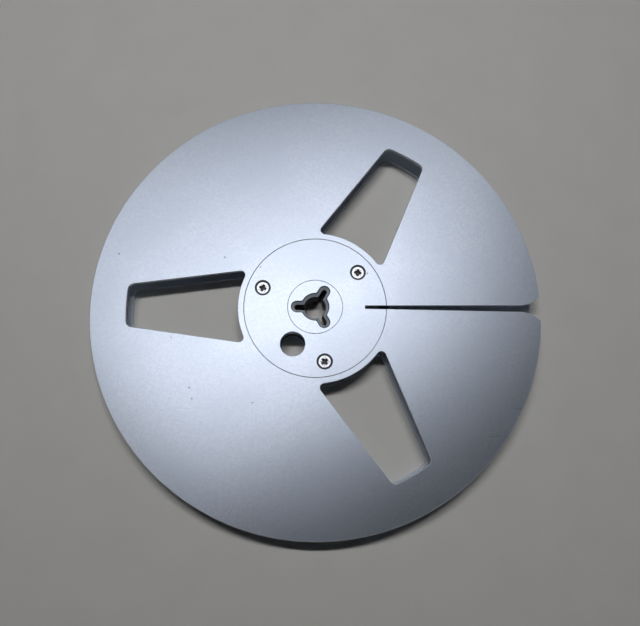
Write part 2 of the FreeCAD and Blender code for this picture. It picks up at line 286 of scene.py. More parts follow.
class Shell:
    """The walls and faces of one piece, gathered until they become its mesh."""

    def __init__(self):
        self.points = []
        self.polygons = []
        self.normals = []
        self.wear_and_highlight = []
        self.matt_and_painted_shade_level = []
        self.matt_and_painted_shade = 0.0
        self.count = 0

    def add(self, points, polygons, normals, wear_and_highlight):
        """Points, the polygons between them, and a normal and an edge wear and highlight for each
        polygon corner. They all take the shell's matt and painted shade level at the time."""
        self.points.append(points)
        self.polygons += (np.asarray(polygons) + self.count).tolist()
        self.normals.append(normals)
        self.wear_and_highlight.append(np.broadcast_to(wear_and_highlight, len(normals)))
        self.matt_and_painted_shade_level.append(np.full(len(normals), self.matt_and_painted_shade))
        self.count += len(points)

    def rows(self, paths, heights, leans, closed=True, wear_and_highlight=0.0):
        """Wall between rows: path k at height k, with a normal that leans up by angle k, which is
        cos(lean) times the path's outward direction plus sin(lean) times up. A lean is one angle
        or one for each point. Wear_and_highlight is how far a lean of 45 degrees counts as a worn
        edge with a painted highlight."""
        width = len(paths[0])
        stretch = np.arange(width if closed else width - 1)
        after = (stretch + 1) % width
        points, corners, edge_wear_and_highlight = [], [], []
        for path, height, lean in zip(paths, heights, leans):
            points.append(np.column_stack((path, np.broadcast_to(height, width))))
            lean = np.broadcast_to(lean, width)
            for side, index in zip(side_normals(path, closed), (stretch, after)):
                angle = lean[index][:, None]
                corners.append(np.hstack((side * np.cos(angle), np.sin(angle))))
                edge_wear_and_highlight.append(wear_and_highlight * np.abs(np.sin(2 * lean[index])))
        quads = np.stack((stretch, after, after + width, stretch + width), axis=1)
        for low in range(len(paths) - 1):
            order = (2 * low, 2 * low + 1, 2 * low + 3, 2 * low + 2)
            normals = np.stack([corners[end] for end in order], axis=1).reshape(-1, 3)
            edges = np.stack([edge_wear_and_highlight[end] for end in order], axis=1).ravel()
            self.add(np.concatenate(points[low:low + 2]), quads, normals, edges)

    def facets(self, lower, upper, low, high):
        """Wall of flat facets between two closed paths at two heights, each facet's normal the
        product of its two sides."""
        width = len(lower)
        stretch = np.arange(width)
        after = (stretch + 1) % width
        points = np.column_stack((np.concatenate((lower, upper)), np.repeat((low, high), width)))
        quads = np.stack((stretch, after, after + width, stretch + width), axis=1)
        across = points[after] - points[stretch]
        along = points[stretch + width] - points[stretch]
        normals = np.cross(across, along)
        normals /= np.linalg.norm(normals, axis=1, keepdims=True)
        self.add(points, quads, np.repeat(normals, 4, axis=0), 0.0)

    def wall(self, path, low, high, low_round=None, high_round=None, closed=True):
        """Upright wall between two heights, with rounded or sharp edges. Returns the paths of its
        lowest and highest rows, which border the faces."""
        lower = [(0.0, low, 0.0)] if low_round is None else round_edge(low, low_round, -1)
        upper = [(0.0, high, 0.0)] if high_round is None else round_edge(high, high_round, 1)
        profile = lower + upper
        paths = [moved_in(path, inset, closed) for inset, _, _ in profile]
        heights = [height for _, height, _ in profile]
        leans = [lean for _, _, lean in profile]
        self.rows(paths, heights, leans, closed, wear_and_highlight=1.0)
        return paths[0], paths[-1]

    def face(self, height, facing, *paths):
        """Flat face inside the first path and outside the others: Delaunay triangles between
        their points, less those in the holes. Facing is 1 for up and -1 for down."""
        flat = np.concatenate(paths)
        ends = np.cumsum([len(path) for path in paths])
        edges = [(index, index + 1) for index in range(len(flat))]
        for end, path in zip(ends, paths):
            edges[end - 1] = (int(end) - 1, int(end) - len(path))
        found = delaunay_2d_cdt([Vector(place) / MM for place in flat], edges,
                                [list(range(len(paths[0])))], 1, WELD / MM)
        origin = np.array([places[0] for places in found[3]])
        triangles = origin[np.array(found[2])][:, ::facing]
        middles = flat[triangles].mean(axis=1)
        for path in paths[1:]:
            triangles, middles = (kept[~inside(middles, path)] for kept in (triangles, middles))
        points = np.column_stack((flat, np.full(len(flat), height)))
        self.add(points, triangles, np.tile((0.0, 0.0, facing), (3 * len(triangles), 1)), 0.0)

    def piece(self, name, material, slot, *nodes, over=False):
        """Makes the mesh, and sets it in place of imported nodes. Over turns it over: a point
        goes to twice its share along the turning line, less itself, and its height to the
        reel's top less itself."""
        points, normals = np.concatenate(self.points), np.concatenate(self.normals)
        if over:
            points, normals = turned_over(points, REEL_TOP), turned_over(normals, 0.0)
        grid = np.round(points / WELD).astype(np.int64)
        _, chosen, place = np.unique(grid, axis=0, return_index=True, return_inverse=True)
        place = place.ravel()
        polygons = [[int(place[corner]) for corner in polygon] for polygon in self.polygons]
        mesh = bpy.data.meshes.new(name)
        mesh.from_pydata(points[chosen].tolist(), [], polygons)
        mesh.shade_smooth()
        for label, parts in (("wear_and_highlight", self.wear_and_highlight), ("matt_and_painted_shade_level", self.matt_and_painted_shade_level)):
            values = mesh.attributes.new(label, "FLOAT", "CORNER").data
            values.foreach_set("value", np.concatenate(parts).astype(np.float32))
        mesh.normals_split_custom_set(normals.tolist())
        mesh.materials.append(material)
        piece = bpy.data.objects.new(name, mesh)
        bpy.context.scene.collection.objects.link(piece)
        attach(piece, "root")
        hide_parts(*nodes)
        return piece


def turned_over(rows, top):
    """Points or normals turned over about the level line through the first window."""
    line = polar(1.0, FIRST_WINDOW)
    flat = rows[:, :2]
    turned = 2 * (flat @ line)[:, None] * line - flat
    return np.column_stack((turned, top - rows[:, 2]))


# ---- Outlines of the reel's pieces ------------------------------------------------------------


def slot_side(radius):
    """Where the slot's upper side crosses a circle about the axis. The side is the line
    y = a + s x, so x is the positive root of (1 + s s) x x + 2 a s x + a a = radius squared."""
    slope = (MOUTH_START_HALF - SLOT_START_HALF) / (MOUTH_START - SLOT_START)
    offset = SLOT_START_HALF - slope * SLOT_START
    square = 1 + slope ** 2
    x = (math.sqrt(radius ** 2 * square - offset ** 2) - offset * slope) / square
    return np.array((x, offset + slope * x))


def mouth_curve(count):
    """Upper curve of the slot's mouth, from the straight side out to the rim. It ends where its
    circle meets the rim, by the cosine rule in the triangle of the two centres."""
    start = np.array((MOUTH_START, MOUTH_START_HALF))
    centre = start + (0, MOUTH_CURVE)
    reach = math.hypot(*centre)
    cosine = (REEL_RADIUS ** 2 + reach ** 2 - MOUTH_CURVE ** 2) / (2 * REEL_RADIUS * reach)
    angle = math.atan2(centre[1], centre[0]) - math.acos(cosine)
    return arc(centre, start, polar(REEL_RADIUS, math.degrees(angle)), count)


def flange_path(bore_radius, extra_radius=None):
    """Outline of a flange: round the rim, in along the slot's lower side, clockwise round the
    bore and out along the upper side. Returns it with the radius of its edge at each point."""
    curve = mouth_curve(16)
    rim = arc((0, 0), curve[-1], mirrored(curve[-1]), 400)
    inner = [slot_side(radius) for radius in (extra_radius, bore_radius) if radius is not None]
    inner = np.array(inner)
    bore = arc((0, 0), mirrored(inner[-1]), inner[-1], 180, clockwise=True)
    lower = mirrored(curve)[::-1]
    parts = [rim[:-1], lower, mirrored(inner[:-1]), bore, inner[:-1][::-1], curve[:-1]]
    easing = np.linspace(SLOT_ROUND, RIM_ROUND, len(curve))
    sizes = [np.full(len(rim) - 1, RIM_ROUND), easing[::-1], np.full(len(inner) - 1, SLOT_ROUND),
             np.full(len(bore), SEAM_ROUND), np.full(len(inner) - 1, SLOT_ROUND), easing[:-1]]
    return np.concatenate(parts), np.concatenate(sizes), bore


def window_corner(radius, side, corner_radius, outside):
    """Round corner between a circle about the axis and a window's side, a line at distance
    side[0] above the origin that falls by angle side[1]. Its centre is on the circle made larger
    or smaller by the corner's radius. Returns the centre, and where it touches circle and side."""
    distance, lean = side
    normal = np.array((math.sin(lean), math.cos(lean)))
    along = np.array((math.cos(lean), -math.sin(lean)))
    foot = distance * math.cos(lean) - corner_radius
    reach = radius + corner_radius if outside else radius - corner_radius
    centre = normal * foot + along * math.sqrt(reach ** 2 - foot ** 2)
    return centre, centre * (radius / reach), centre + normal * corner_radius


def window_path(index):
    """Outline of one window, clockwise: two arcs about the axis, two straight sides and four
    round corners."""
    slope = (WINDOW_INNER_HALF - WINDOW_OUTER_HALF) / (WINDOW_OUTER_RADIUS - WINDOW_INNER_RADIUS)
    side = (WINDOW_INNER_HALF + slope * WINDOW_INNER_RADIUS, math.atan(slope))
    outer = window_corner(WINDOW_OUTER_RADIUS, side, WINDOW_OUTER_CORNER, False)
    inner = window_corner(WINDOW_INNER_RADIUS, side, WINDOW_INNER_CORNER, True)
    half = [
        arc((0, 0), (WINDOW_OUTER_RADIUS, 0), outer[1], 14),
        arc(outer[0], outer[1], outer[2], 12),
        arc(inner[0], inner[2], inner[1], 14),
        arc((0, 0), inner[1], (WINDOW_INNER_RADIUS, 0), 22, clockwise=True),
    ]
    upper = joined(*half)
    path = joined(upper, mirrored(upper)[::-1])
    return spun(path, FIRST_WINDOW + 120.0 * index)[::-1]


def plate_path(radius, extra_radius=None):
    """Outline of a disc that the slot runs into: round its edge, in along the slot's lower side,
    across the square end and out along the upper side."""
    corners = [slot_side(radius)]
    if extra_radius is not None:
        corners.append(slot_side(extra_radius))
    corners.append(np.array((SLOT_START, SLOT_START_HALF)))
    corners = np.array(corners)
    edge = arc((0, 0), corners[0], mirrored(corners[0]), 240)
    return np.concatenate((edge, mirrored(corners[1:]), corners[1:][::-1])), edge


def collar_path(radius, flat, hole=False):
    """Circle about the axis with three chords, the flats, at 0, 120 and 240 degrees."""
    half = math.degrees(math.acos(flat / radius))
    arcs = [arc((0, 0), polar(radius, angle + half), polar(radius, angle + 120 - half), 24)
            for angle in (0, 120, 240)]
    path = np.concatenate(arcs)
    return path[::-1] if hole else path


def trident_path(spread):
    """The spindle bore's outline moved outwards by the spread, clockwise: a circle about the axis
    and three lobes with straight sides, round ends and small rounds where they leave the circle.
    A round's centre is its radius outside both the circle and the lobe's side."""
    radius = BORE_RADIUS + spread
    half = LOBE_HALF + spread
    height = half + LOBE_ROOT_ROUND
    centre = np.array((math.sqrt((radius + LOBE_ROOT_ROUND) ** 2 - height ** 2), height))
    on_side = centre - (0, LOBE_ROOT_ROUND)
    on_circle = centre * (radius / (radius + LOBE_ROOT_ROUND))
    lobe_end = np.array((LOBE_CENTRE, 0.0))
    lobe = [
        mirrored(arc(centre, on_circle, on_side, 8)),
        arc(lobe_end, lobe_end - (0, half), lobe_end + (0, half), 32),
        arc(centre, on_side, on_circle, 8, clockwise=True),
        arc((0, 0), on_circle, spun(mirrored(on_circle), 120), 14)[1:-1],
    ]
    lobe = np.concatenate(lobe)
    return np.concatenate([spun(lobe, FIRST_WINDOW + angle) for angle in (0, 120, 240)])[::-1]


def cross_path(half_across, half, marks):
    """Outline of a cross, clockwise: four arms with square ends. Each corner between two arms is
    a short chord, or with marks, the fine groove that starts there and points outwards."""
    chord = TICK_HALF_WIDTH * math.sqrt(2)
    near = half + chord
    points = [(near, -half), (half_across, -half), (half_across, half), (near, half)]
    if marks:
        tip = TICK_REACH / math.sqrt(2)
        points += [(tip + chord / 2, tip - chord / 2), (tip - chord / 2, tip + chord / 2)]
    arm = np.array(points)
    return np.concatenate([spun(arm, angle) for angle in (0, 90, 180, 270)])[::-1]


# ---- The reel's pieces, each built where the front one sits -----------------------------------

SEAT = REEL_TOP - LIP      # height of the step that the hub plate's lip sits on


def hole(shell, centre, radius, low, high, count=64, **rounds):
    """Round hole between two heights. Returns the paths of its lowest and highest rows."""
    return shell.wall(circle(centre, radius, count, hole=True), low, high, **rounds)


def flange():
    """Flat plate with a rabbet round its bore, three windows and the tape slot."""
    shell = Shell()
    upper, upper_sizes, upper_bore = flange_path(PLATE_RADIUS + PLATE_GAP)
    lower, lower_sizes, lower_bore = flange_path(SPIGOT_RADIUS + BORE_GAP,
                                                 PLATE_RADIUS + PLATE_GAP)
    # Painted shade on every wall of the flange: rim, slot, bore rabbet, pin hole and windows.
    shell.matt_and_painted_shade = WALL_PAINTED_SHADE
    _, top = shell.wall(upper, SEAT, REEL_TOP, high_round=upper_sizes)
    bottom, _ = shell.wall(lower, GAP_TOP, SEAT, low_round=lower_sizes)
    pin = hole(shell, polar(PIN_CIRCLE, PIN_ANGLE), PIN_HOLE_RADIUS, GAP_TOP, SEAT, 24)
    windows = [shell.wall(window_path(index), GAP_TOP, REEL_TOP, WINDOW_ROUND, WINDOW_ROUND)
               for index in range(3)]
    shell.matt_and_painted_shade = 0.0
    shell.face(REEL_TOP, 1, top, *[window[1] for window in windows])
    # Painted shade on the flange's inner face, between the flanges.
    shell.matt_and_painted_shade = INNER_FACE_PAINTED_SHADE
    shell.face(GAP_TOP, -1, bottom, pin[0], *[window[0] for window in windows])
    shell.matt_and_painted_shade = 0.0
    shell.face(SEAT, 1, np.concatenate((upper_bore, lower_bore[::-1])), pin[1])
    return shell


def hub_plate():
    """Disc with a lip that sits in the flange's rabbet and a spigot that sits in the drum."""
    shell = Shell()
    upper, upper_edge = plate_path(PLATE_RADIUS, SPIGOT_RADIUS)
    lower, lower_edge = plate_path(SPIGOT_RADIUS)
    # Painted shade on the plate's rounded edge at the seam.
    shell.matt_and_painted_shade = SEAM_PAINTED_SHADE
    _, top = shell.wall(upper, SEAT, REEL_TOP, high_round=SEAM_ROUND)
    shell.matt_and_painted_shade = 0.0
    bottom, _ = shell.wall(lower, PLATE_FLOOR, SEAT)
    shell.face(SEAT, -1, np.concatenate((upper_edge, lower_edge[::-1])))
    through = [
        hole(shell, (0, 0), BUSH_RADIUS + BORE_GAP, PLATE_FLOOR, REEL_TOP, 144,
             high_round=SEAM_ROUND),
        hole(shell, FINGER_CENTRE, FINGER_RADIUS, PLATE_FLOOR, REEL_TOP, 96,
             high_round=SLOT_ROUND),
    ]
    for angle in SCREW_ANGLES:
        centre = polar(SCREW_CIRCLE, angle)
        shank = circle(centre, SCREW_HOLE_RADIUS, 72, hole=True)
        mouth = circle(centre, COUNTERSINK_RADIUS, 72, hole=True)
        sink = REEL_TOP - (COUNTERSINK_RADIUS - SCREW_HOLE_RADIUS)
        shell.rows([shank, shank], (PLATE_FLOOR, sink), (0, 0))
        # Painted shade in the countersink.
        shell.matt_and_painted_shade = COUNTERSINK_PAINTED_SHADE
        shell.rows([shank, mouth], (sink, REEL_TOP), (math.pi / 4, math.pi / 4))
        shell.matt_and_painted_shade = 0.0
        through.append((shank, mouth))
    shell.face(REEL_TOP, 1, top, *[paths[1] for paths in through])
    shell.face(PLATE_FLOOR, -1, bottom, *[paths[0] for paths in through])
    return shell


def hub_core():
    """The drum is two curved walls between the slots, and a web across them at mid-height."""
    shell = Shell()
    wall_radius = SPIGOT_RADIUS + BORE_GAP
    pin_place = polar(PIN_CIRCLE, PIN_ANGLE)
    front_pin = circle(pin_place, PIN_HOLE_RADIUS, 24, hole=True)
    rear_pin = circle(turned_over(np.append(pin_place, 0.0)[None], 0.0)[0, :2],
                      PIN_HOLE_RADIUS, 24, hole=True)
    web = []
    for start, end in ((0.0, REAR_SLOT), (REAR_SLOT, 360.0)):
        edge = arc((0, 0), spun(slot_side(DRUM_RADIUS), start),
                   spun(mirrored(slot_side(DRUM_RADIUS)), end), int(end - start))
        inner = arc((0, 0), spun(mirrored(slot_side(wall_radius)), end),
                    spun(slot_side(wall_radius), start), int(end - start), clockwise=True)
        outline = np.concatenate((inner[-1:], edge, inner[:1]))
        shell.rows([outline] * 4, (GAP_FLOOR, WEB_FLOOR, WEB_TOP, GAP_TOP), (0, 0, 0, 0), False)
        shell.rows([inner] * 2, (GAP_FLOOR, WEB_FLOOR), (0, 0), False)
        shell.rows([inner] * 2, (WEB_TOP, GAP_TOP), (0, 0), False)
        loop = np.concatenate((outline, inner[1:-1]))
        holds_pins = start == REAR_SLOT
        shell.face(GAP_FLOOR, -1, loop, *([rear_pin] if holds_pins else []))
        shell.face(GAP_TOP, 1, loop, *([front_pin] if holds_pins else []))
        foot = np.array((slot_side(wall_radius), (SLOT_START, SLOT_START_HALF)))
        notch = spun(np.concatenate((mirrored(foot), foot[::-1])), start)
        shell.rows([notch] * 2, (WEB_FLOOR, WEB_TOP), (0, 0), False)
        web += [notch, inner[::-1][1:-1]]
    shell.rows([front_pin] * 2, (GAP_TOP - PIN_HOLE_DEPTH, GAP_TOP), (0, 0))
    shell.face(GAP_TOP - PIN_HOLE_DEPTH, 1, front_pin)
    shell.rows([rear_pin] * 2, (GAP_FLOOR, GAP_FLOOR + PIN_HOLE_DEPTH), (0, 0))
    shell.face(GAP_FLOOR + PIN_HOLE_DEPTH, -1, rear_pin)
    holes = [collar_path(COLLAR_RADIUS + BORE_GAP, COLLAR_FLAT + BORE_GAP, hole=True),
             circle(FINGER_CENTRE, FINGER_RADIUS, 96, hole=True)]
    for angle in SCREW_ANGLES:
        for place in (angle, 2 * FIRST_WINDOW - angle):
            holes.append(circle(polar(SCREW_CIRCLE, place), THREAD_HOLE_RADIUS, 32, hole=True))
    for path in holes:
        shell.rows([path] * 2, (WEB_FLOOR, WEB_TOP), (0, 0))
    shell.face(WEB_FLOOR, -1, np.concatenate(web), *holes)
    shell.face(WEB_TOP, 1, np.concatenate(web), *holes)
    return shell


def spindle_bush():
    """Round at both ends, with a keyed collar between, and the three-lobed bore through it."""
    shell = Shell()
    shoulder = REEL_TOP - PLATE_FLOOR
    body = circle((0, 0), BUSH_RADIUS, 144)
    collar = collar_path(COLLAR_RADIUS, COLLAR_FLAT)
    rear_end, _ = shell.wall(body, 0.0, shoulder, low_round=SEAM_ROUND)
    shell.wall(collar, shoulder, PLATE_FLOOR)
    _, front_end = shell.wall(body, PLATE_FLOOR, REEL_TOP, high_round=SEAM_ROUND)
    shell.face(shoulder, -1, collar, body[::-1])
    shell.face(PLATE_FLOOR, 1, collar, body[::-1])
    spreads = (MOUTH_SPREAD, BAND_SPREAD, THROAT_SPREAD, 0.0)
    foot = MOUTH_STEP + MOUTH_SLOPE
    depths = (0.0, MOUTH_STEP, foot, foot + THROAT_DEPTH)
    paths = [trident_path(spread) for spread in spreads]
    # Painted shade on the mouth's outer step, a matt grey band, then painted shade in the throat,
    # kept down the straight bore.
    for band, matt_and_painted_shade in enumerate(MOUTH_PAINTED_SHADE_AND_MATT):
        lean = math.atan2(spreads[band] - spreads[band + 1], depths[band + 1] - depths[band])
        shell.matt_and_painted_shade = matt_and_painted_shade
        shell.rows(paths[band:band + 2], depths[band:band + 2], (-lean, -lean))
        shell.rows(paths[band:band + 2][::-1], [REEL_TOP - depth for depth in
                                                depths[band:band + 2]][::-1], (lean, lean))
    shell.rows([paths[3]] * 2, (depths[3], REEL_TOP - depths[3]), (0, 0))
    shell.matt_and_painted_shade = 0.0
    shell.face(0.0, -1, rear_end, paths[0])
    shell.face(REEL_TOP, 1, front_end, paths[0])
    return shell


def screw(index):
    """Countersunk screw: a threaded shank, a cone, a short land and a cross recess. The thread's
    depth is a triangle wave of height over pitch less the turn about the screw, faded at both
    ends, and the point is a cone."""
    shell = Shell()
    centre = polar(SCREW_CIRCLE, SCREW_ANGLES[index])
    tip = HEAD_TOP - SCREW_LENGTH
    land = HEAD_TOP - HEAD_LAND
    neck = land - (SCREW_HEAD_RADIUS - SCREW_SHANK_RADIUS)
    count = 48
    turn = np.arange(count) / count
    levels = np.linspace(tip, neck, 1 + 6 * round((neck - tip) / THREAD_PITCH))
    wave = levels[:, None] / THREAD_PITCH - turn
    groove = THREAD_DEPTH * np.abs(2 * (wave % 1.0) - 1)
    fade = np.clip((neck - levels) / THREAD_PITCH, 0, 1)[:, None]
    point = np.clip(tip + THREAD_DEPTH - levels, 0, None)[:, None]
    inset = np.maximum(groove * fade, point)
    leans = np.arctan(np.gradient(inset, levels, axis=0))
    shank = circle(centre, SCREW_SHANK_RADIUS, count)
    rings = [moved_in(shank, row) for row in inset]
    shell.rows(rings, levels, leans)
    shell.face(tip, -1, rings[0])
    head = circle(centre, SCREW_HEAD_RADIUS, count)
    # Painted shade on the head's cone and bevelled rim.
    shell.matt_and_painted_shade = HEAD_PAINTED_SHADE
    shell.rows([rings[-1], head], (neck, land), (-math.pi / 4, -math.pi / 4))
    top = moved_in(head, HEAD_BEVEL)
    lean = math.atan2(HEAD_BEVEL, HEAD_LAND)
    shell.rows([head, top], (land, HEAD_TOP), (lean, lean))
    shell.matt_and_painted_shade = 0.0

    def recess(depth, marks):
        share = depth / RECESS_DEPTH
        half_across = RECESS_HALF_ACROSS + share * (RECESS_FLOOR_HALF_ACROSS - RECESS_HALF_ACROSS)
        half = RECESS_HALF_WIDTH + share * (RECESS_FLOOR_HALF_WIDTH - RECESS_HALF_WIDTH)
        return centre + spun(cross_path(half_across, half, marks), RECESS_TURNS[index])

    mark_floor, floor = HEAD_TOP - TICK_DEPTH, HEAD_TOP - RECESS_DEPTH
    shell.face(HEAD_TOP, 1, top, recess(0.0, True))
    # Painted shade in the cross recess.
    shell.matt_and_painted_shade = RECESS_PAINTED_SHADE
    shell.facets(recess(TICK_DEPTH, True), recess(0.0, True), mark_floor, HEAD_TOP)
    shell.facets(recess(RECESS_DEPTH, False), recess(TICK_DEPTH, False), floor, mark_floor)
    shell.face(floor, 1, recess(RECESS_DEPTH, False))
    marked = recess(TICK_DEPTH, True)[::-1]
    for arm in range(4):
        corners = (6 * arm + np.arange(3, 7)) % len(marked)
        shell.face(mark_floor, 1, marked[corners])
    return shell


def locating_pin():
    """Short round pin with rounded ends, flush with the flange's step."""
    shell = Shell()
    path = circle(polar(PIN_CIRCLE, PIN_ANGLE), PIN_RADIUS, 32)
    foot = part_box("front_locating_pin")[0].z
    bottom, top = shell.wall(path, foot, SEAT, PIN_ROUND, PIN_ROUND)
    shell.face(foot, -1, bottom)
    shell.face(SEAT, 1, top)
    return shell


# ---- Effects that the finishes share ----------------------------------------------------------


def put(tree, kind, inputs=None, **settings):
    """A node with its settings. An input is given a value, or the socket that feeds it."""
    node = tree.nodes.new(kind)
    for name, value in settings.items():
        setattr(node, name, value)
    for name, value in (inputs or {}).items():
        if isinstance(value, bpy.types.NodeSocket):
            tree.links.new(value, node.inputs[name])
        else:
            node.inputs[name].default_value = value
    return node


def math_node(tree, operation, first, second=0.0, third=0.0):
    """The result of one sum, from up to three values or sockets."""
    return put(tree, "ShaderNodeMath", {0: first, 1: second, 2: third},
               operation=operation).outputs[0]


def stepped(tree, value, low, high, to_low=0.0, to_high=1.0):
    """The value's way from low to high, eased at both ends, as a number between two others."""
    return put(tree, "ShaderNodeMapRange",
               {"Value": value, "From Min": low, "From Max": high, "To Min": to_low,
                "To Max": to_high}, interpolation_type="SMOOTHSTEP").outputs["Result"]


def noise(tree, place, scale, detail=2.0, roughness=0.5):
    """Noise at a place, with the scale in features to the metre."""
    return put(tree, "ShaderNodeTexNoise", {"Vector": place, "Scale": scale, "Detail": detail,
                                            "Roughness": roughness}).outputs["Fac"]


def effect(name, inputs, outputs):
    """An empty node group with its sockets: (name, kind, value) for inputs, names for outputs."""
    tree = bpy.data.node_groups.new(name, "ShaderNodeTree")
    for label, kind, value in inputs:
        socket = tree.interface.new_socket(label, in_out="INPUT", socket_type=kind)
        socket.default_value = value
    for label in outputs:
        tree.interface.new_socket(label, in_out="OUTPUT", socket_type="NodeSocketFloat")
    source = tree.nodes.new("NodeGroupInput").outputs
    return tree, source, tree.nodes.new("NodeGroupOutput").inputs


def blasted_grain():
    """Height of a blasted surface: fine round pits with a coarser unevenness under them."""
    tree, source, result = effect(
        "blasted_grain",
        [("Place", "NodeSocketVector", (0, 0, 0)), ("Grain size", "NodeSocketFloat", 0.2 * MM)],
        ["Height"])
    fine = math_node(tree, "DIVIDE", 1.0, source["Grain size"])
    coarse = math_node(tree, "DIVIDE", 0.22, source["Grain size"])
    pits = noise(tree, source["Place"], fine, 2.0, 0.6)
    swell = noise(tree, source["Place"], coarse, 1.0)
    tree.links.new(math_node(tree, "MULTIPLY_ADD", swell, 1.6, pits), result["Height"])
    return tree


def handling():
    """Where hands and shelves left traces: soft smudges, and thin faint scratches that come
    only in patches. A scratch is the crest of a noise that is stretched fifty times one way."""
    tree, source, result = effect(
        "handling", [("Place", "NodeSocketVector", (0, 0, 0))], ["Smudge", "Scratch"])
    smudge = noise(tree, source["Place"], 1 / (22 * MM), 3.0, 0.55)
    tree.links.new(stepped(tree, smudge, 0.35, 0.68), result["Smudge"])
    scratches = 0.0
    for angle, seed in ((0.5, 3.0), (2.1, 11.0)):
        turned = put(tree, "ShaderNodeMapping", {
            "Vector": source["Place"], "Rotation": (0, 0, angle), "Location": (seed, 0, 0),
            "Scale": (60.0, 3000.0, 1.0)}).outputs["Vector"]
        crest = stepped(tree, noise(tree, turned, 1.0, 1.0), 0.74, 0.80)
        patch = stepped(tree, noise(tree, turned, 0.02, 0.0), 0.5, 0.62)
        scratches = math_node(tree, "MULTIPLY_ADD", crest, patch, scratches)
    tree.links.new(scratches, result["Scratch"])
    return tree


def small_dent():
    """One small dent: full at its centre and gone at its size, with an uneven outline."""
    tree, source, result = effect(
        "small_dent",
        [("Place", "NodeSocketVector", (0, 0, 0)), ("Centre", "NodeSocketVector", (0, 0, 0)),
         ("Size", "NodeSocketFloat", 0.5 * MM), ("Others", "NodeSocketFloat", 0.0)],
        ["Depth"])
    away = put(tree, "ShaderNodeVectorMath", {0: source["Place"], 1: source["Centre"]},
               operation="DISTANCE").outputs["Value"]
    uneven = noise(tree, source["Place"], 1 / (0.5 * MM), 1.0)
    away = math_node(tree, "MULTIPLY", away, math_node(tree, "ADD", uneven, 0.5))
    share = math_node(tree, "DIVIDE", away, source["Size"])
    depth = stepped(tree, share, 1.0, 0.3)
    tree.links.new(math_node(tree, "MAXIMUM", depth, source["Others"]), result["Depth"])
    return tree


def worn_and_highlit_edge():
    """The wear and highlight attribute of rounded edges, broken up so that the edge wear and
    painted highlight come and go.
    """
    tree, source, result = effect(
        "worn_and_highlit_edge", [("Place", "NodeSocketVector", (0, 0, 0))], ["Wear"])
    edge = put(tree, "ShaderNodeAttribute", attribute_name="wear_and_highlight").outputs["Fac"]
    broken = stepped(tree, noise(tree, source["Place"], 1 / (3 * MM), 3.0, 0.6), 0.3, 0.7)
    tree.links.new(math_node(tree, "MULTIPLY", edge, broken), result["Wear"])
    return tree


GRAIN = blasted_grain()
HANDLING = handling()
DENT = small_dent()
EDGE_WEAR_AND_HIGHLIGHT = worn_and_highlit_edge()

# ---- Finishes ---------------------------------------------------------------------------------


def finish(name, **constants):
    """A material with one Principled shader, and the place on the piece that patterns read."""
    material = bpy.data.materials.new(name)
    material.use_nodes = True
    tree = material.node_tree
    shader = tree.nodes["Principled BSDF"]
    for label, value in constants.items():
        shader.inputs[label.replace("_", " ")].default_value = value
    return material, tree, shader, tree.nodes.new("ShaderNodeTexCoord").outputs["Object"]


def shared(tree, group, inputs):
    """The outputs of one of the shared effects, given its inputs."""
    node = put(tree, "ShaderNodeGroup", None, node_tree=group)
    for label, value in inputs.items():
        if isinstance(value, bpy.types.NodeSocket):
            tree.links.new(value, node.inputs[label])
        else:
            node.inputs[label].default_value = value
    return node.outputs


def blended(tree, share, first, second):
    """A colour between two, by the share."""
    mix = put(tree, "ShaderNodeMix", None, data_type="RGBA")
    for index, value in ((0, share), (6, first), (7, second)):
        if isinstance(value, bpy.types.NodeSocket):
            tree.links.new(value, mix.inputs[index])
        else:
            mix.inputs[index].default_value = value
    return mix.outputs[2]


def rough_bump(tree, shader, height, distance):
    """Relief on the shader: the height times the distance."""
    bump = put(tree, "ShaderNodeBump", {"Height": height, "Distance": distance, "Strength": 1.0})
    tree.links.new(bump.outputs["Normal"], shader.inputs["Normal"])


def matt_and_painted_shade(tree, shader, colour, shade_colour):
    """Makes the shader less metallic by the matt and painted shade attribute. Returns the colour,
    darkened by it towards the shade colour as painted shade, and the attribute."""
    matt_and_painted_shade_level = put(tree, "ShaderNodeAttribute", attribute_name="matt_and_painted_shade_level").outputs["Fac"]
    tree.links.new(stepped(tree, matt_and_painted_shade_level, 0.0, MATT, 1.0, 0.0), shader.inputs["Metallic"])
    return blended(tree, matt_and_painted_shade_level, colour, shade_colour), matt_and_painted_shade_level


